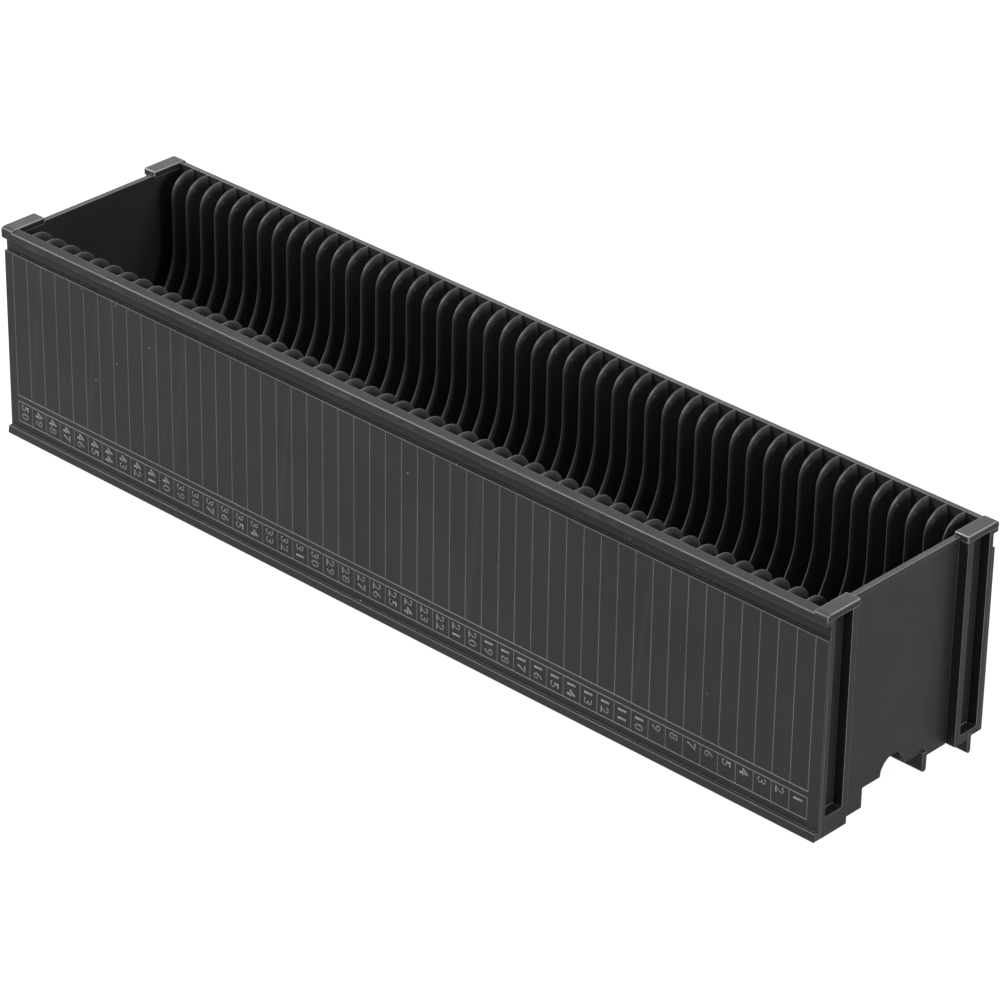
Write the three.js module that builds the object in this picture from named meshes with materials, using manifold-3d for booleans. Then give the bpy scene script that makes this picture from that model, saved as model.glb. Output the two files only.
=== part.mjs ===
// A straight slide magazine: an open black plastic tray that holds fifty 50 x 50 mm framed slides
// on edge, each in its own slot between two U-shaped dividers. The real tray is one moulding. Here
// each element of that moulding is a solid of its own, so that every slot stays open.
//
// Millimetres. X runs along the tray, Y across it and Z up. The numbered label side is the front,
// at -Y. The origin is at the middle of the footprint, on the surface that the rails stand on.

import * as THREE from 'three';
import { mergeVertices } from 'three/addons/utils/BufferGeometryUtils.js';
import Module from 'manifold-3d';

const wasm = await Module();
wasm.setup();

// ---- driving dimensions ----
const LENGTH = 256.4;            // over both ends
const WIDTH = 55.2;              // label face to rear face, without rim and lip
const HEIGHT = 56.35;            // foot of the rails to the top of the rim
const SLIDE_COUNT = 50;
const SLOT_PITCH = 5;
const DIVIDER_THICKNESS = 0.9;
const DIVIDER_OFFSET = 0.4;      // the row of dividers sits this far towards +X
const WALL = 1.5;                // long wall, panel face to inside face

// long wall section, from the top down
const RIM_PROUD = 0.75;          // the rim stands out this far from the panel face
const RIM_FALL = 0.75;           // the rim's top slopes down by this much to its outer edge
const CAP_FLAT = 27;             // a corner cap is flat out to here, and rounded beyond
const RIM_BOTTOM = 53.5;
const RECESS = 0.75;             // groove under the rim, in from the panel face
const PANEL_TOP = 49.95;
const LIP_TOP = 2.9;             // lip along the foot of the label side
const LIP_PROUD_TOP = 0.9;
const LIP_PROUD_BOTTOM = 1.35;
const FRONT_BOTTOM = 0.95;
const REAR_BOTTOM = 4.15;

// ends: a recessed plate between two posts, each post with a vertical guide groove
const PLATE_RECESS = 2.7;        // the plate lies this far inside the tray's end
const PLATE_THICKNESS = 1.1;
const PLATE_TOP = 55.5;
const BAND_HEIGHT = 1.05;        // raised band along the plate's top edge
const BAND_PROUD = 0.3;
const GROOVE_OUTER = 2.1;        // distances in from the panel face
const GROOVE_INNER = 7.7;
const POST_INNER = 9.45;
const CAP_INNER = 9.8;           // the cap over the groove reaches a little further in
const GROOVE_BOTTOM = 5.9;
const GROOVE_TOP = 54.6;
const REAR_POST_BOTTOM = 3.65;

// floor, and the three rails that the tray stands and slides on
const FLOOR_BOTTOM = 5;
const FLOOR_TOP = 6.2;
const CHANNEL_RADIUS = 4.15;     // lifter channel along the middle
const RAIL_WIDTH = 1.5;
const FRONT_RAIL_FACE = -10;     // +Y face of the front rail and of the leg at each end
const MIDDLE_RAIL_FACE = 9.8;    // -Y face
const MIDDLE_RAIL_PROUD = 0.5;   // out from the end plate
const REAR_RAIL_FACE = 22.65;    // -Y face
const REAR_RAIL_WIDTH = 1.2;
const RAIL_ROUNDING = 0.4;
const SKIRT_BOTTOM = 3.4;        // end plate between the middle rail and the rear post

// divider outline
const WELL_HALF = 18.9;          // half the clear width between a divider's two arms
const WELL_CENTRE = 38.25;       // height of the centre of the round bottom
const SHOULDER = 5.5;            // radius of the arms' upper inner corners
const DIVIDER_TOP = 56.15;

// smoothness of the round outlines
const WELL_SEGMENTS = 18;
const SHOULDER_SEGMENTS = 5;
const CHANNEL_SEGMENTS = 8;

// ---- derived sizes ----
const endX = LENGTH / 2;
const panelY = WIDTH / 2;
const insideY = panelY - WALL;
const rimY = panelY + RIM_PROUD;
const plateOuterX = endX - PLATE_RECESS;
const plateInnerX = plateOuterX - PLATE_THICKNESS;
const postInnerY = panelY - POST_INNER;
const capInnerY = panelY - CAP_INNER;

// ---- plastics ----
function plastic(color, roughness) {
  return new THREE.MeshStandardMaterial({ color, roughness, metalness: 0 });
}
const SHELL = [0x35363a, 0.5];
const DIVIDER = [0x29292d, 0.4];
const UNDERSIDE = [0x303135, 0.6];

const magazine = new THREE.Group();
magazine.name = 'slide_magazine';

function addMesh(name, geometry, [color, roughness]) {
  const mesh = new THREE.Mesh(geometry, plastic(color, roughness));
  mesh.name = name;
  magazine.add(mesh);
}

// ---- shape helpers ----
function shapeOf(points) {
  return new THREE.Shape(points.map(([a, b]) => new THREE.Vector2(a, b)));
}

function rectangle(a0, a1, b0, b1) {
  return shapeOf([[a0, b0], [a1, b0], [a1, b1], [a0, b1]]);
}

function extruded(shape, depth, change) {
  const raw = new THREE.ExtrudeGeometry(shape, { depth, bevelEnabled: false });
  raw.deleteAttribute('normal');
  raw.deleteAttribute('uv');
  const geometry = mergeVertices(raw);
  const position = geometry.getAttribute('position');
  for (let i = 0; i < position.count; i += 1) {
    position.setXYZ(i, ...change(position.getX(i), position.getY(i), position.getZ(i)));
  }
  return geometry;
}

// A (Y, Z) outline carried along X from x0 to x1.
function alongX(shape, x0, x1) {
  return extruded(shape, x1 - x0, (a, b, depth) => [depth + x0, a, b]);
}

// Points of a circular arc; the angles are in quarter turns.
function arc(centreA, centreB, radius, from, to, segments) {
  return Array.from({ length: segments + 1 }, (_, i) => {
    const angle = (from + (to - from) * (i / segments)) * (Math.PI / 2);
    return [centreA + radius * Math.cos(angle), centreB + radius * Math.sin(angle)];
  });
}

function solid(geometry) {
  return new wasm.Manifold(new wasm.Mesh({
    numProp: 3,
    vertProperties: Float32Array.from(geometry.getAttribute('position').array),
    triVerts: Uint32Array.from(geometry.getIndex().array),
  }));
}

function geometryOf(manifold) {
  const mesh = manifold.getMesh();
  const geometry = new THREE.BufferGeometry();
  geometry.setAttribute('position', new THREE.BufferAttribute(mesh.vertProperties, 3));
  geometry.setIndex(new THREE.BufferAttribute(mesh.triVerts, 1));
  return geometry;
}

// ---- long walls ----
// side is -1 for the front and +1 for the rear. Each outline runs outwards over the rim, down the
// panel and back along the foot.
function wallOutline(side, foot) {
  return shapeOf([
    [insideY, HEIGHT],
    [rimY, HEIGHT - RIM_FALL],
    [rimY, RIM_BOTTOM],
    [panelY - RECESS, RIM_BOTTOM],
    [panelY - RECESS, PANEL_TOP],
    [panelY, PANEL_TOP],
    ...foot,
  ].map(([y, z]) => [side * y, z]));
}

// The end of the rim, which carries the flat top of the corner cap out to its rounded edge.
function rimCorner(side, end) {
  const [x0, x1] = [end * plateInnerX, end * endX].sort((a, b) => a - b);
  const edge = [0, 1, 2, 3, 4].map((step) => {
    const turn = (step / 4) * (Math.PI / 2);
    return [CAP_FLAT + (rimY - CAP_FLAT) * Math.sin(turn), HEIGHT - RIM_FALL * (1 - Math.cos(turn))];
  });
  const outline = [[insideY, HEIGHT], ...edge, [rimY, RIM_BOTTOM], [insideY, RIM_BOTTOM]];
  return solid(alongX(shapeOf(outline.map(([y, z]) => [side * y, z])), x0, x1));
}

function longWall(side, foot) {
  return geometryOf(solid(alongX(wallOutline(side, foot), -endX, endX))
    .add(rimCorner(side, -1))
    .add(rimCorner(side, 1)));
}

addMesh('front_wall', longWall(-1, [
  [panelY, LIP_TOP],
  [panelY + LIP_PROUD_TOP, LIP_TOP],
  [panelY + LIP_PROUD_BOTTOM, FRONT_BOTTOM],
  [insideY, FRONT_BOTTOM],
]), SHELL);
addMesh('rear_wall', longWall(1, [
  [panelY, REAR_BOTTOM],
  [insideY, REAR_BOTTOM],
]), SHELL);

// ---- ends ----
// The plate from the front wall to the rear wall, with the leg beside the front rail, the arch of
// the lifter channel, the room for the two other rails and the shallow notch in the top edge.
function plateOutline() {
  return shapeOf([
    [-insideY, FRONT_BOTTOM],
    [-postInnerY, FRONT_BOTTOM],
    [-postInnerY, 0],
    [FRONT_RAIL_FACE, 0],
    [FRONT_RAIL_FACE, FLOOR_BOTTOM],
    ...arc(0, FLOOR_BOTTOM, CHANNEL_RADIUS, 2, 0, CHANNEL_SEGMENTS),
    [MIDDLE_RAIL_FACE + RAIL_WIDTH, FLOOR_BOTTOM],
    [MIDDLE_RAIL_FACE + RAIL_WIDTH, SKIRT_BOTTOM],
    [postInnerY, SKIRT_BOTTOM],
    [postInnerY, REAR_POST_BOTTOM],
    [REAR_RAIL_FACE, REAR_POST_BOTTOM],
    [REAR_RAIL_FACE, FLOOR_BOTTOM],
    [REAR_RAIL_FACE + REAR_RAIL_WIDTH, FLOOR_BOTTOM],
    [REAR_RAIL_FACE + REAR_RAIL_WIDTH, REAR_BOTTOM],
    [insideY, REAR_BOTTOM],
    [insideY, HEIGHT],
    [capInnerY, HEIGHT],
    [capInnerY, PLATE_TOP],
    [-capInnerY, PLATE_TOP],
    [-capInnerY, HEIGHT],
    [-insideY, HEIGHT],
  ]);
}

// A post with its cap; foot lists the points along its underside, from the outside inwards.
function postOutline(side, foot) {
  const shape = shapeOf([
    ...foot,
    [postInnerY, GROOVE_TOP],
    [capInnerY, GROOVE_TOP],
    [capInnerY, HEIGHT],
    [insideY, HEIGHT],
  ].map(([y, z]) => [side * y, z]));
  const nearY = side * (panelY - GROOVE_INNER);
  const farY = side * (panelY - GROOVE_OUTER);
  shape.holes.push(rectangle(nearY, farY, GROOVE_BOTTOM, GROOVE_TOP));
  return shape;
}

// end is -1 for the left end and +1 for the right end.
function endWall(end) {
  const between = (shape, x0, x1) => solid(alongX(shape, ...(end > 0 ? [x0, x1] : [-x1, -x0])));
  const bandBottom = PLATE_TOP - BAND_HEIGHT;
  const frontPost = postOutline(-1, [
    [insideY, FRONT_BOTTOM],
    [postInnerY, FRONT_BOTTOM],
  ]);
  const rearPost = postOutline(1, [
    [insideY, REAR_BOTTOM],
    [REAR_RAIL_FACE + REAR_RAIL_WIDTH, REAR_BOTTOM],
    [REAR_RAIL_FACE + REAR_RAIL_WIDTH, FLOOR_BOTTOM],
    [REAR_RAIL_FACE, FLOOR_BOTTOM],
    [REAR_RAIL_FACE, REAR_POST_BOTTOM],
    [postInnerY, REAR_POST_BOTTOM],
  ]);
  const band = rectangle(-capInnerY, capInnerY, bandBottom, PLATE_TOP);
  return geometryOf(between(plateOutline(), plateInnerX, plateOuterX)
    .add(between(frontPost, plateInnerX, endX))
    .add(between(rearPost, plateInnerX, endX))
    .add(between(band, plateInnerX, plateOuterX + BAND_PROUD)));
}

addMesh('left_end_wall', endWall(-1), SHELL);
addMesh('right_end_wall', endWall(1), SHELL);

// ---- floor: two ledges with the lifter channel between them ----
function floorLedge(side) {
  const y = [side * CHANNEL_RADIUS, side * insideY].sort((a, b) => a - b);
  return alongX(rectangle(...y, FLOOR_BOTTOM, FLOOR_TOP), -plateInnerX, plateInnerX);
}

addMesh('front_floor_ledge', floorLedge(-1), UNDERSIDE);
addMesh('rear_floor_ledge', floorLedge(1), UNDERSIDE);

// ---- rails ----
function rail(faceY, width, reachX) {
  return alongX(shapeOf([
    [faceY, FLOOR_BOTTOM],
    [faceY, RAIL_ROUNDING],
    [faceY + RAIL_ROUNDING, 0],
    [faceY + width - RAIL_ROUNDING, 0],
    [faceY + width, RAIL_ROUNDING],
    [faceY + width, FLOOR_BOTTOM],
  ]), -reachX, reachX);
}

addMesh('front_rail', rail(FRONT_RAIL_FACE - RAIL_WIDTH, RAIL_WIDTH, plateInnerX), UNDERSIDE);
addMesh('middle_rail', rail(MIDDLE_RAIL_FACE, RAIL_WIDTH, plateOuterX + MIDDLE_RAIL_PROUD), UNDERSIDE);
addMesh('rear_rail', rail(REAR_RAIL_FACE, REAR_RAIL_WIDTH, endX), UNDERSIDE);

// ---- dividers: one U-shaped web between each slide and the next ----
function dividerOutline() {
  const shoulderY = WELL_HALF + SHOULDER;
  const shoulderZ = DIVIDER_TOP - SHOULDER;
  const notch = Math.asin((FLOOR_TOP - FLOOR_BOTTOM) / CHANNEL_RADIUS) / (Math.PI / 2);
  return shapeOf([
    [insideY, FLOOR_TOP],
    [insideY, DIVIDER_TOP],
    ...arc(shoulderY, shoulderZ, SHOULDER, 1, 2, SHOULDER_SEGMENTS),
    ...arc(0, WELL_CENTRE, WELL_HALF, 0, -2, WELL_SEGMENTS),
    ...arc(-shoulderY, shoulderZ, SHOULDER, 0, 1, SHOULDER_SEGMENTS),
    [-insideY, DIVIDER_TOP],
    [-insideY, FLOOR_TOP],
    ...arc(0, FLOOR_BOTTOM, CHANNEL_RADIUS, 2 - notch, notch, CHANNEL_SEGMENTS),
  ]);
}

for (let number = 1; number < SLIDE_COUNT; number += 1) {
  const centreX = (number - SLIDE_COUNT / 2) * SLOT_PITCH + DIVIDER_OFFSET;
  const half = DIVIDER_THICKNESS / 2;
  const name = `divider_${String(number).padStart(2, '0')}`;
  addMesh(name, alongX(dividerOutline(), centreX - half, centreX + half), DIVIDER);
}

export default magazine;
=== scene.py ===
import math

import bmesh
import bpy
from mathutils import Matrix, Vector


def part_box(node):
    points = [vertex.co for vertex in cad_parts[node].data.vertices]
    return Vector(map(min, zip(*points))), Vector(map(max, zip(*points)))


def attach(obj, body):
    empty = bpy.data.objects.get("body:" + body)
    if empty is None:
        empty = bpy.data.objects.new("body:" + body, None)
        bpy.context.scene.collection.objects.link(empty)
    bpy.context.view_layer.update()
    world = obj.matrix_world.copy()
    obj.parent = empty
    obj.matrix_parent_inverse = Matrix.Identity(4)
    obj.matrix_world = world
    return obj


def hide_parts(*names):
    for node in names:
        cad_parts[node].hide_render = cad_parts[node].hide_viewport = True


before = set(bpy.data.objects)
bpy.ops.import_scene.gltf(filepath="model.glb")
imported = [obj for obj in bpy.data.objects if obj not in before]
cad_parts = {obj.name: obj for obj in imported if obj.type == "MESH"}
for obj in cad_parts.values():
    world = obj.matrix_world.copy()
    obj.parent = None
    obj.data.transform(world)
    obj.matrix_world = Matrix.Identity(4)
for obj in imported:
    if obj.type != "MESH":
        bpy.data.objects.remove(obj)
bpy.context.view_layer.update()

# Sizes below are in millimetres. X runs along the tray, Y across it and Z up. The label side is
# the front, at -Y. The CAD boxes give the places, and the constants give the finer shapes.
MM = 0.001
SLOTS = 50
PITCH = 5.0
NEAR = 0.001                     # two places this close are taken as the same

# long wall section
RIM_FALL = 0.75
RIM_ROUND = 0.45                 # the rim's outer top edge
RIM_CORNER = 0.35                # the upright corner at each end of the rim
RIM_BOTTOM = 53.5
RECESS = 0.75
RECESS_CUT = 0.3                 # the recess runs in this much further at its foot
PANEL_TOP = 49.95
LIP_TOP = 2.9
LIP_PROUD = 0.9
LIP_CORNER = 0.7
PANEL_Y = 27.6
REAR_BOTTOM = 4.15
END_SETBACK = 0.17               # the corner caps stand this far out from the wall ends
END_BEVEL = 0.13                 # rounding of the section at the wall ends

# label field: engraved lines and raised numbers
GRID_SHIFT = -0.2
LABEL_FOOT = 3.2                 # nothing is engraved below this height
LABEL_HEAD = PANEL_TOP - 0.1     # or above this one
LABEL_SIDE = 1.0                 # or this close to the ends
LINE_FACE = 0.2                  # the faces of a line are narrower than this
CUT_LIMIT = 27.4                 # a line's faces lie further out than this
GRID_FOOT = 11.9
BOX_TOP = 10.3
BOX_BOTTOM = 4.9
LINE_HALF = 0.12
LINE_DEPTH = 0.07
DIGIT_HEIGHT = 2.45
DIGIT_PITCH = 2.15
DIGIT_TOP = 8.85
DIGIT_RELIEF = 0.12

# corner caps
CAP_INNER_Y = 17.8
CAP_BOTTOM = 54.6
CAP_FLAT_Y = 27.0                # a cap is flat out to here, and rounded beyond
CAP_ROUND = 0.25
CAP_FIT = 0.04                   # keeps a cap's faces off the faces of the walls under it

# how far the end walls run in under the pieces that cover their joints
UNDER_WALL_END = 0.02
UNDER_LONG_WALL = 0.65
UNDER_CAP = 0.3

# dividers
WELL_HALF = 18.9
WELL_CENTRE = 38.25
SHOULDER = 5.5
CHANNEL_RADIUS = 4.15
CHANNEL_Z = 5.0
EDGE_DEPTH = 0.42                # the free edges taper over this much of the thickness
EDGE_REACH = 1.3                 # and over this much of the face
EMBED = 0.5                      # the dividers run this far into the walls and the floor

# edge rounding of the pieces that follow the CAD solids
EDGE_ROUND = 0.14
GUARD = 0.14                     # rows of points this far apart keep the wear at the edges
LINE_SHIFTS = (-LINE_HALF - 2 * GUARD, -LINE_HALF - GUARD, -LINE_HALF, 0.0, LINE_HALF,
               LINE_HALF + GUARD, LINE_HALF + 2 * GUARD)


def mm_box(node):
    low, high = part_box(node)
    return low / MM, high / MM


front_low, front_high = mm_box("front_wall")
rear_high = mm_box("rear_wall")[1]
plate_low = mm_box("right_end_wall")[0]
ledge_high = mm_box("front_floor_ledge")[1]
END_X = front_high.x
INSIDE_Y = -front_high.y
HEIGHT = front_high.z
RIM_Y = rear_high.y
LIP_Y = -front_low.y
FRONT_BOTTOM = front_low.z
INNER_X = plate_low.x


# ---- materials ----
TINT = (1.0, 1.0, 1.04)
DUST = 0.35
RELIEF = 0.00003                 # metres, of the grain and of the flow streaks


class Nodes:
    """Adds nodes to one material and links them, newest to the right."""

    def __init__(self, material):
        self.tree = material.node_tree
        self.count = 0

    def add(self, kind, inputs=None, **settings):
        node = self.tree.nodes.new(kind)
        node.location = (-1400 + 180 * (self.count % 8), -240 * (self.count // 8))
        self.count += 1
        for key, value in settings.items():
            setattr(node, key, value)
        for key, value in (inputs or {}).items():
            if isinstance(value, bpy.types.NodeSocket):
                self.tree.links.new(value, node.inputs[key])
            else:
                node.inputs[key].default_value = value
        return node

    def link(self, source, target):
        self.tree.links.new(source, target)


def grey(value):
    return (value * TINT[0], value * TINT[1], value * TINT[2], 1.0)


def plastic(name, base, roughness, edge=0.0, grain=0.0, specks=0.0, streaks=0.0):
    """Moulded black plastic. base is a grey level, edge is the grey of a painted highlight on
    convex edges, and roughness is the mean roughness.
    """
    material = bpy.data.materials.new(name)
    material.use_nodes = True
    n = Nodes(material)
    shader = material.node_tree.nodes["Principled BSDF"]
    place = n.add("ShaderNodeTexCoord").outputs["Object"]

    # colour: broad cloudiness, then a fine mottle
    broad = n.add("ShaderNodeTexNoise", {"Vector": place, "Scale": 38.0, "Detail": 3.0})
    fine = n.add("ShaderNodeTexNoise", {"Vector": place, "Scale": 900.0, "Detail": 2.0})
    cloud = n.add("ShaderNodeMapRange", {"Value": broad.outputs["Fac"], "From Min": 0.3,
                                         "From Max": 0.7, "To Min": 0.88, "To Max": 1.12})
    mottle = n.add("ShaderNodeMapRange", {"Value": fine.outputs["Fac"], "From Min": 0.3,
                                          "From Max": 0.7, "To Min": 0.93, "To Max": 1.07})
    level = n.add("ShaderNodeMath", {0: cloud.outputs[0], 1: mottle.outputs[0]},
                  operation="MULTIPLY")
    colour = n.add("ShaderNodeMix", {"Factor": 1.0, "A": grey(base), "B": level.outputs[0]},
                   data_type="RGBA", blend_type="MULTIPLY").outputs["Result"]

    # convex edges, found by pointiness, painted paler: a painted highlight, broken up by the
    # cloudiness
    if edge:
        point = n.add("ShaderNodeNewGeometry").outputs["Pointiness"]
        edge_highlight_mask = n.add("ShaderNodeMapRange", {"Value": point, "From Min": 0.51, "From Max": 0.6,
                                           "To Min": 0.0, "To Max": 1.0})
        broken_edge_highlight = n.add("ShaderNodeMath", {0: edge_highlight_mask.outputs[0], 1: cloud.outputs[0]},
                       operation="MULTIPLY", use_clamp=True)
        colour = n.add("ShaderNodeMix", {"Factor": broken_edge_highlight.outputs[0], "A": colour,
                                         "B": grey(edge)},
                       data_type="RGBA").outputs["Result"]

    # a little dust
    if specks:
        dots = n.add("ShaderNodeTexVoronoi", {"Vector": place, "Scale": 260.0})
        dot = n.add("ShaderNodeMapRange", {"Value": dots.outputs["Distance"], "From Min": 0.02,
                                           "From Max": 0.05, "To Min": 1.0, "To Max": 0.0})
        rare = n.add("ShaderNodeMapRange", {"Value": dots.outputs["Color"], "From Min": 0.78,
                                            "From Max": 0.82, "To Min": 0.0, "To Max": specks})
        dust = n.add("ShaderNodeMath", {0: dot.outputs[0], 1: rare.outputs[0]},
                     operation="MULTIPLY")
        colour = n.add("ShaderNodeMix", {"Factor": dust.outputs[0], "A": colour,
                                         "B": grey(DUST)},
                       data_type="RGBA").outputs["Result"]
    n.link(colour, shader.inputs["Base Color"])

    # roughness: handling marks and fine flow streaks of the mould
    marks = n.add("ShaderNodeTexNoise", {"Vector": place, "Scale": 95.0, "Detail": 4.0})
    rough = n.add("ShaderNodeMapRange", {"Value": marks.outputs["Fac"], "From Min": 0.3,
                                         "From Max": 0.7, "To Min": roughness - 0.05,
                                         "To Max": roughness + 0.06})
    n.link(rough.outputs[0], shader.inputs["Roughness"])
    shader.inputs["IOR"].default_value = 1.5
    shader.inputs["Specular IOR Level"].default_value = 0.14

    # surface: grain of the mould, and streaks that run up the walls
    pits = n.add("ShaderNodeTexNoise", {"Vector": place, "Scale": 2600.0, "Detail": 2.0})
    bump = n.add("ShaderNodeBump", {"Height": pits.outputs["Fac"], "Strength": grain,
                                    "Distance": RELIEF})
    if streaks:
        along = n.add("ShaderNodeMapping", {"Vector": place, "Scale": (1.0, 1.0, 0.04)})
        flow = n.add("ShaderNodeTexNoise", {"Vector": along.outputs[0], "Scale": 1500.0,
                                            "Detail": 3.0})
        bump = n.add("ShaderNodeBump", {"Height": flow.outputs["Fac"], "Strength": streaks,
                                        "Distance": RELIEF, "Normal": bump.outputs[0]})
    n.link(bump.outputs[0], shader.inputs["Normal"])
    return material


# edge= is the grey of the painted highlight laid on the convex edges of each plastic
shell = plastic("moulded_shell", 0.006, 0.44, edge=0.04, grain=0.6, specks=0.4, streaks=0.5)
# the dividers are painted lighter than the shell, which is the same plastic: painted light standing
# in for the light the narrow wells keep off their faces
lightened_web = plastic("moulded_divider_lightened", 0.014, 0.36, edge=0.03, grain=0.3, specks=0.2)
shell_face = plastic("moulded_shell_face", 0.006, 0.44, grain=0.6, specks=0.4, streaks=0.5)
# paler copies of the face plastics for the rounded edge faces: a painted highlight along every
# bevel
shell_edge_highlight = plastic("moulded_shell_edge_highlight", 0.022, 0.4, edge=0.08, grain=0.3)
under_face = plastic("moulded_underside_face", 0.007, 0.5, grain=0.5)
underside_edge_highlight = plastic("moulded_underside_edge_highlight", 0.015, 0.45, edge=0.05, grain=0.3)
# the label lines are painted paler than the panel: a painted highlight in their grooves
line_highlight = plastic("engraved_line_highlight", 0.055, 0.38, edge=0.07, grain=0.2)
# the raised numbers are painted paler than the panel: a painted highlight on their strokes
number_highlight = plastic("raised_number_highlight", 0.02, 0.34, edge=0.1, grain=0.2)


# ---- mesh helpers ----
def piece(name, mesh, materials, slot, *nodes):
    """A shown piece that rides on the one rigid body, and stands for the CAD nodes it is given."""
    obj = bpy.data.objects.new(name, mesh)
    bpy.context.scene.collection.objects.link(obj)
    if not mesh.materials:
        for material in materials:
            mesh.materials.append(material)
    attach(obj, "root")
    if nodes:
        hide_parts(*nodes)
    return obj


def even_shading(mesh, sharp=38.0):
    """Smooth shading, except over edges that turn by more than sharp degrees."""
    for polygon in mesh.polygons:
        polygon.use_smooth = True
    mesh.set_sharp_from_angle(angle=math.radians(sharp))


def weighted(obj):
    """Makes the shading normals follow the large flat faces."""
    modifier = obj.modifiers.new("flat_faces", "WEIGHTED_NORMAL")
    modifier.keep_sharp = True
    modifier.weight = 80


def rounded(corners, steps=4):
    """Turns (a, b, radius) corners into an outline with each corner rounded."""
    outline = []
    count = len(corners)
    for i, (a, b, radius) in enumerate(corners):
        here = Vector((a, b))
        back = Vector(corners[i - 1][:2]) - here
        ahead = Vector(corners[(i + 1) % count][:2]) - here
        if radius <= 0:
            outline.append(here)
            continue
        half = back.angle(ahead) / 2
        cut = min(radius / math.tan(half), 0.48 * back.length, 0.48 * ahead.length)
        radius = cut * math.tan(half)
        middle = (back.normalized() + ahead.normalized()).normalized()
        centre = here + middle * (radius / math.sin(half))
        first = here + back.normalized() * cut - centre
        last = here + ahead.normalized() * cut - centre
        start = math.atan2(first.y, first.x)
        turn = math.atan2(last.y, last.x) - start
        turn = (turn + math.pi) % (2 * math.pi) - math.pi
        for s in range(steps + 1):
            angle = start + turn * s / steps
            outline.append(centre + radius * Vector((math.cos(angle), math.sin(angle))))
    return outline


def guarded(outline):
    """The outline with two points, GUARD apart, near each end of its long straight runs."""
    points = []
    count = len(outline)
    for i, here in enumerate(outline):
        run = outline[(i + 1) % count] - here
        points.append(here)
        if run.length > 5 * GUARD:
            step = run.normalized() * GUARD
            points += [here + step, here + 2 * step, here + run - 2 * step, here + run - step]
    return points


def arc(a, b, radius, start, end, steps):
    """Points of an arc, with its angles in degrees."""
    points = []
    for s in range(steps + 1):
        angle = math.radians(start + (end - start) * s / steps)
        points.append(Vector((a + radius * math.cos(angle), b + radius * math.sin(angle))))
    return points


def inset(outline, depth):
    """The outline moved inwards by depth. It has to run anticlockwise."""
    if not depth:
        return list(outline)
    moved = []
    count = len(outline)
    for i, here in enumerate(outline):
        back = (here - outline[i - 1]).normalized()
        ahead = (outline[(i + 1) % count] - here).normalized()
        left = Vector((-back.y - ahead.y, back.x + ahead.x)).normalized()
        lean = max(0.35, left.dot(Vector((-back.y, back.x))))
        moved.append(here + left * (depth / lean))
    return moved


def skin(rings):
    """A closed mesh from rings of points that all have the same count."""
    mesh = bmesh.new()
    rows = [[mesh.verts.new(Vector(p) * MM) for p in ring] for ring in rings]
    count = len(rows[0])
    for near, far in zip(rows, rows[1:]):
        for i in range(count):
            j = (i + 1) % count
            mesh.faces.new((near[i], near[j], far[j], far[i]))
    mesh.faces.new(rows[0][::-1])
    mesh.faces.new(rows[-1])
    bmesh.ops.recalc_face_normals(mesh, faces=mesh.faces)
    return mesh


def to_mesh(name, work):
    mesh = bpy.data.meshes.new(name)
    work.to_mesh(mesh)
    work.free()
    return mesh


# ---- long walls ----
def wall_section(front):
    """Outline of a long wall as (outward distance, height), with rows of points on the panel."""
    top = [(INSIDE_Y, HEIGHT, 0.18), (INSIDE_Y, FRONT_BOTTOM if front else REAR_BOTTOM, 0.15)]
    if front:
        foot = [(LIP_Y, FRONT_BOTTOM, 0.2), (PANEL_Y + LIP_PROUD, LIP_TOP, 0.22),
                (PANEL_Y, LIP_TOP, 0.06)]
    else:
        foot = [(PANEL_Y, REAR_BOTTOM, 0.2)]
    head = [(PANEL_Y, PANEL_TOP, 0.15), (PANEL_Y - RECESS - RECESS_CUT, PANEL_TOP, 0.03),
            (PANEL_Y - RECESS, PANEL_TOP + 0.6, 0.1), (PANEL_Y - RECESS, RIM_BOTTOM, 0.1),
            (RIM_Y, RIM_BOTTOM, 0.22), (RIM_Y, HEIGHT - RIM_FALL, RIM_ROUND)]
    outline = guarded(rounded(top + foot + head))
    if not front:
        return outline
    rows = []
    for height in (BOX_BOTTOM, BOX_TOP, GRID_FOOT):
        rows += [height + shift for shift in LINE_SHIFTS]
    at = next(i for i, p in enumerate(outline) if abs(p.x - PANEL_Y) < NEAR and p.y > 40)
    return outline[:at] + [Vector((PANEL_Y, z)) for z in rows] + outline[at:]


def engraved(x, z, across, upright):
    """Depth of the label lines at a point of the panel."""
    first = GRID_SHIFT - SLOTS / 2 * PITCH
    last = first + SLOTS * PITCH
    if upright and (z >= GRID_FOOT - NEAR or BOX_BOTTOM - NEAR <= z <= BOX_TOP + NEAR):
        return LINE_DEPTH
    if across and first - NEAR <= x <= last + NEAR:
        return LINE_DEPTH
    return 0.0


def corner_limit(x, radius, reach, end):
    """How far out the rounded corner of a rim or lip lets a point go at this x."""
    past = abs(x) - (end - radius)
    if past <= 0:
        return reach
    past = min(past, radius)
    return reach - radius + math.sqrt(max(0.0, radius * radius - past * past))


def in_engraving(face):
    """Whether a face of the front wall lies in a label line, by its shape and its depth."""
    out = [abs(v.co.y) / MM for v in face.verts]
    along = [v.co.x / MM for v in face.verts]
    high = [v.co.z / MM for v in face.verts]
    narrow = max(along) - min(along) < LINE_FACE
    low_and_flat = max(high) - min(high) < LINE_FACE and max(high) < GRID_FOOT + 1
    on_label = LABEL_FOOT < min(high) and max(high) < LABEL_HEAD
    cut = CUT_LIMIT < min(out) < PANEL_Y - 0.01
    clear_of_ends = max(abs(x) for x in along) < END_X - LABEL_SIDE
    return on_label and (narrow or low_and_flat) and cut and clear_of_ends


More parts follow.
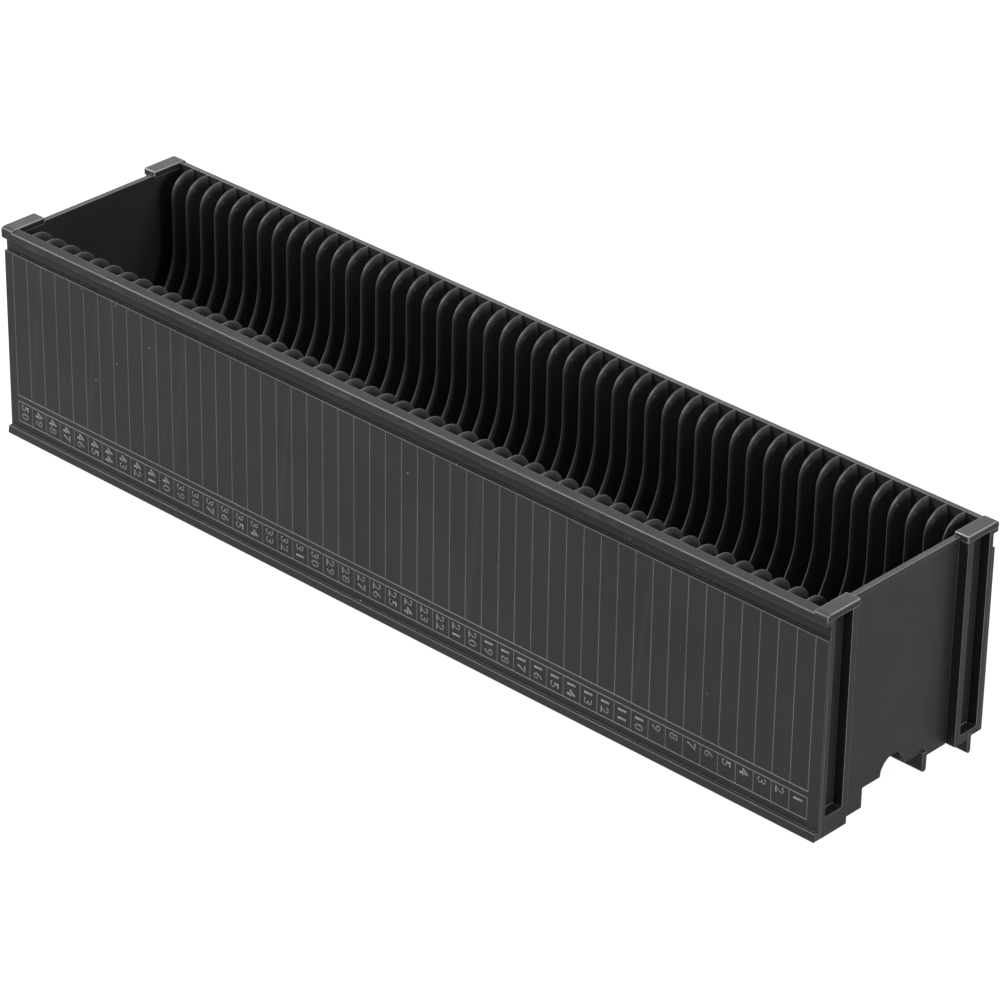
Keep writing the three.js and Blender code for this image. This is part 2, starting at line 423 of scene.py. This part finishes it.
def long_wall(name, side, front):
    section = wall_section(front)
    end = END_X - END_SETBACK
    columns = []
    for s in range(5):
        angle = math.radians(90 * s / 4)
        columns.append((end - END_BEVEL * (1 - math.sin(angle)),
                        END_BEVEL * (1 - math.cos(angle))))
    columns += [(end - END_BEVEL - GUARD, 0.0), (end - END_BEVEL - 2 * GUARD, 0.0)]
    columns = [(x, d, False) for x, d in columns]
    columns += [(end - RIM_CORNER + RIM_CORNER * math.sin(math.radians(a)), 0.0, False)
                for a in (0, 15, 30)]
    columns += [(-x, d, u) for x, d, u in columns]
    if front:
        for k in range(SLOTS + 1):
            middle = GRID_SHIFT + (k - SLOTS / 2) * PITCH
            columns += [(middle + shift, 0.0, not shift) for shift in LINE_SHIFTS]
    columns.sort()
    lines = (BOX_BOTTOM, BOX_TOP, GRID_FOOT)
    rings = []
    for x, depth, upright in columns:
        ring = []
        for p in inset(section, depth):
            out = p.x
            if p.y > RIM_BOTTOM - 0.4:
                out = min(out, corner_limit(x, RIM_CORNER, RIM_Y, END_X))
            if front and p.y < LIP_TOP + 0.4:
                out = min(out, corner_limit(x, LIP_CORNER, LIP_Y, END_X))
            if front and abs(p.x - PANEL_Y) < NEAR and LABEL_FOOT < p.y < LABEL_HEAD:
                across = any(abs(p.y - z) < NEAR for z in lines)
                out -= engraved(x, p.y, across, upright)
            ring.append((x, side * out, p.y))
        rings.append(ring)
    work = skin(rings)
    if front:
        for face in work.faces:
            if in_engraving(face):
                # faces of the label lines take the paler line material, a painted highlight
                face.material_index = 1
    mesh = to_mesh(name, work)
    even_shading(mesh, 24.0)
    weighted(piece(name, mesh, [shell, line_highlight], "shell_plastic", name))


long_wall("front_wall", -1, True)
long_wall("rear_wall", 1, False)


# ---- pieces with flat faces and rounded edges ----
def soft_edged(name, work, slot, width, materials, *nodes):
    """A piece from a sharp mesh with its edges rounded. materials are its faces' and its edges',
    the edges' one paler as a painted highlight.
    """
    form = to_mesh(name + "_form", work)
    for material in materials:
        form.materials.append(material)
    obj = bpy.data.objects.new(name + "_form", form)
    bpy.context.scene.collection.objects.link(obj)
    bevel = obj.modifiers.new("edges", "BEVEL")
    bevel.width = width * MM
    bevel.segments = 3
    bevel.limit_method = "ANGLE"
    bevel.angle_limit = math.radians(40)
    # the bevel faces take the second, paler material: a painted highlight on the edges
    bevel.material = 1
    graph = bpy.context.evaluated_depsgraph_get()
    shaped = bpy.data.meshes.new_from_object(obj.evaluated_get(graph))
    bpy.data.objects.remove(obj)
    shaped.name = name
    even_shading(shaped)
    weighted(piece(name, shaped, materials, slot, *nodes))


def from_solid(name, slot, materials, change=None):
    """A copy of a CAD solid with its flat faces made whole and its edges rounded."""
    work = bmesh.new()
    work.from_mesh(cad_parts[name].data)
    bmesh.ops.remove_doubles(work, verts=work.verts, dist=1e-6)
    if change:
        for vertex in work.verts:
            vertex.co = Vector(change(*(vertex.co / MM))) * MM
    bmesh.ops.dissolve_limit(work, angle_limit=math.radians(2), verts=work.verts,
                             edges=work.edges)
    for face in work.faces:
        face.material_index = 0
    soft_edged(name, work, slot, EDGE_ROUND, materials, name)


def end_change(x, y, z):
    """Lets the long walls and the corner caps cover the end wall's joints."""
    if abs(abs(x) - END_X) < 0.01:
        x = math.copysign(END_X - END_SETBACK + UNDER_WALL_END, x)
    if abs(abs(y) - INSIDE_Y) < 0.01:
        y = math.copysign(INSIDE_Y + UNDER_LONG_WALL, y)
    if abs(z - HEIGHT) < 0.01:
        z = HEIGHT - UNDER_CAP
    return x, y, z


for name in ("left_end_wall", "right_end_wall"):
    from_solid(name, "shell_plastic", (shell_face, shell_edge_highlight), end_change)
for name in ("front_floor_ledge", "rear_floor_ledge", "front_rail", "middle_rail", "rear_rail"):
    from_solid(name, "underside_plastic", (under_face, underside_edge_highlight))


# ---- corner caps: the flat tops over the end posts ----
def corner_cap(name, end, side):
    outer = RIM_Y - CAP_FIT
    inner = CAP_INNER_Y - CAP_FIT
    section = [(outer, CAP_BOTTOM), (inner, CAP_BOTTOM), (inner, HEIGHT)]
    for s in range(11):
        angle = math.radians(90 * s / 10)
        section.append((CAP_FLAT_Y + (outer - CAP_FLAT_Y) * math.sin(angle),
                        HEIGHT - RIM_FALL * (1 - math.cos(angle))))
    rings = [[(end * x, side * y, z) for y, z in section] for x in (INNER_X - CAP_FIT, END_X)]
    soft_edged(name, skin(rings), "shell_plastic", CAP_ROUND, (shell_face, shell_edge_highlight))


for end, end_name in ((-1, "left"), (1, "right")):
    for side, side_name in ((-1, "front"), (1, "rear")):
        corner_cap(f"{end_name}_{side_name}_corner_cap", end, side)


# ---- dividers ----
def divider_outline(top, bottom):
    """The U outline as (y, z), anticlockwise, with its outer edges inside the walls."""
    reach = INSIDE_Y + EMBED
    shoulder_y = WELL_HALF + SHOULDER
    shoulder_z = top - SHOULDER
    notch = math.degrees(math.asin((bottom - CHANNEL_Z) / CHANNEL_RADIUS))
    outline = [Vector((reach, bottom)), Vector((reach, top))]
    outline += arc(shoulder_y, shoulder_z, SHOULDER, 90, 180, 18)
    outline += arc(0, WELL_CENTRE, WELL_HALF, 0, -180, 56)
    outline += arc(-shoulder_y, shoulder_z, SHOULDER, 0, 90, 18)
    outline += [Vector((-reach, top)), Vector((-reach, bottom))]
    outline += arc(0, CHANNEL_Z, CHANNEL_RADIUS, 180 - notch, notch, 16)
    return outline


def divider(name):
    low, high = mm_box(name)
    bottom = ledge_high.z - EMBED
    outline = divider_outline(high.z, bottom)
    half = []
    for s in range(8):
        angle = math.radians(90 * s / 7)
        half.append((EDGE_DEPTH * (1 - math.cos(angle)), EDGE_REACH * (1 - math.sin(angle))))
    half = [(0.0, EDGE_REACH + 2 * GUARD), (0.0, EDGE_REACH + GUARD)] + half
    levels = [(low.x + x, d) for x, d in half] + [(high.x - x, d) for x, d in half[::-1]]
    rings = []
    for x, depth in levels:
        ring = []
        for old, new in zip(outline, inset(outline, depth)):
            held = abs(old.x) > INSIDE_Y
            low_end = held and old.y == bottom
            ring.append((x, old.x if held else new.x, old.y if low_end else new.y))
        rings.append(ring)
    mesh = to_mesh(name, skin(rings))
    even_shading(mesh, 50.0)
    weighted(piece(name, mesh, [lightened_web], "divider_plastic", name))


for number in range(1, SLOTS):
    divider(f"divider_{number:02d}")


# ---- raised numbers ----
def digit_forms():
    """Each digit as vertices of unit height, standing on 0 and centred across, and its faces."""
    forms = {}
    for digit in "0123456789":
        curve = bpy.data.curves.new("digit", "FONT")
        curve.body = digit
        curve.extrude = 0.03
        curve.bevel_depth = 0.012
        curve.bevel_resolution = 1
        curve.resolution_u = 4
        obj = bpy.data.objects.new("digit", curve)
        bpy.context.scene.collection.objects.link(obj)
        graph = bpy.context.evaluated_depsgraph_get()
        mesh = bpy.data.meshes.new_from_object(obj.evaluated_get(graph))
        bpy.data.objects.remove(obj)
        low = [min(v.co[i] for v in mesh.vertices) for i in range(3)]
        high = [max(v.co[i] for v in mesh.vertices) for i in range(3)]
        scale = 1 / (high[1] - low[1])
        middle = (low[0] + high[0]) / 2
        points = [((v.co.x - middle) * scale, (v.co.y - low[1]) * scale, v.co.z / high[2])
                  for v in mesh.vertices]
        forms[digit] = (points, [tuple(p.vertices) for p in mesh.polygons])
    return forms


def slot_numbers():
    """The numbers 50 to 1, read from the top down, each with its feet towards -X."""
    forms = digit_forms()
    points, faces = [], []
    for k in range(SLOTS):
        middle = GRID_SHIFT + (k - SLOTS / 2 + 0.5) * PITCH
        for place, digit in enumerate(str(SLOTS - k)):
            level = DIGIT_TOP - place * DIGIT_PITCH
            form, sides = forms[digit]
            start = len(points)
            for a, b, c in form:
                x = middle + (b - 0.5) * DIGIT_HEIGHT
                z = level - a * DIGIT_HEIGHT
                points.append((x * MM, -(PANEL_Y + c * DIGIT_RELIEF) * MM, z * MM))
            faces += [tuple(start + v for v in side) for side in sides]
    mesh = bpy.data.meshes.new("slot_numbers")
    mesh.from_pydata(points, [], faces)
    mesh.validate()
    work = bmesh.new()
    work.from_mesh(mesh)
    bmesh.ops.remove_doubles(work, verts=work.verts, dist=1e-7)
    bmesh.ops.recalc_face_normals(work, faces=work.faces)
    work.to_mesh(mesh)
    work.free()
    even_shading(mesh)
    piece("slot_numbers", mesh, [number_highlight], "shell_plastic")


slot_numbers()


# ---- floor, light and camera; sizes here are in metres ----
FLOOR_HALF = 3.0
FLOOR_DROP = 0.00005
FLOOR_GLOW = 0.97
AIM = (0, 0, 0.03)
AMBIENT = 0.8
CAMERA_PLACE = (0.64244, -0.675723, 0.546284)
CAMERA_RIGHT = Vector((0.724317, 0.689334, 0.013524))
CAMERA_UP = Vector((-0.346665, 0.347163, 0.871379))
CAMERA_BACK = Vector((0.595976, -0.635843, 0.490424))


def stage_floor():
    mesh = bpy.data.meshes.new("floor")
    signs = ((-1, -1), (1, -1), (1, 1), (-1, 1))
    corners = [(a * FLOOR_HALF, b * FLOOR_HALF, 0) for a, b in signs]
    mesh.from_pydata(corners, [], [(0, 1, 2, 3)])
    floor = bpy.data.objects.new("floor", mesh)
    floor.location.z = -FLOOR_DROP
    bpy.context.scene.collection.objects.link(floor)
    material = bpy.data.materials.new("pale_floor")
    material.use_nodes = True
    shader = material.node_tree.nodes["Principled BSDF"]
    shader.inputs["Base Color"].default_value = (0.02, 0.02, 0.02, 1)
    shader.inputs["Roughness"].default_value = 0.9
    shader.inputs["Emission Color"].default_value = (1, 1, 1, 1)
    shader.inputs["Emission Strength"].default_value = FLOOR_GLOW
    mesh.materials.append(material)


def softbox(name, place, size, power):
    data = bpy.data.lights.new(name, "AREA")
    data.shape = "RECTANGLE"
    data.size, data.size_y = size
    data.energy = power
    light = bpy.data.objects.new(name, data)
    light.location = place
    direction = Vector(AIM) - Vector(place)
    light.rotation_euler = direction.to_track_quat("-Z", "Y").to_euler()
    bpy.context.scene.collection.objects.link(light)


stage_floor()
softbox("overhead", (0.0, 0.1, 1.3), (1.5, 1.1), 15.0)
softbox("upper_left", (-2.1, -1.58, 2.3), (1.75, 1.75), 500.0)
softbox("rear_left", (-1.2, 1.28, 0.98), (1.2, 1.0), 14.0)
softbox("right", (3.2, 0.2, 1.1), (1.2, 1.2), 170.0)
softbox("front", (0.9, -2.4, 0.9), (1.2, 1.2), 20.0)

world = bpy.data.worlds.new("studio")
bpy.context.scene.world = world
world.use_nodes = True
world.node_tree.nodes["Background"].inputs["Color"].default_value = (1, 1, 1, 1)
world.node_tree.nodes["Background"].inputs["Strength"].default_value = AMBIENT

camera_data = bpy.data.cameras.new("camera")
camera_data.sensor_width = 36.0
camera_data.lens = 168.52
camera = bpy.data.objects.new("camera", camera_data)
camera.matrix_world = Matrix.Translation(CAMERA_PLACE) @ Matrix(
    (CAMERA_RIGHT, CAMERA_UP, CAMERA_BACK)).transposed().to_4x4()
bpy.context.scene.collection.objects.link(camera)
bpy.context.scene.camera = camera
bpy.context.scene.view_settings.view_transform = "Standard"
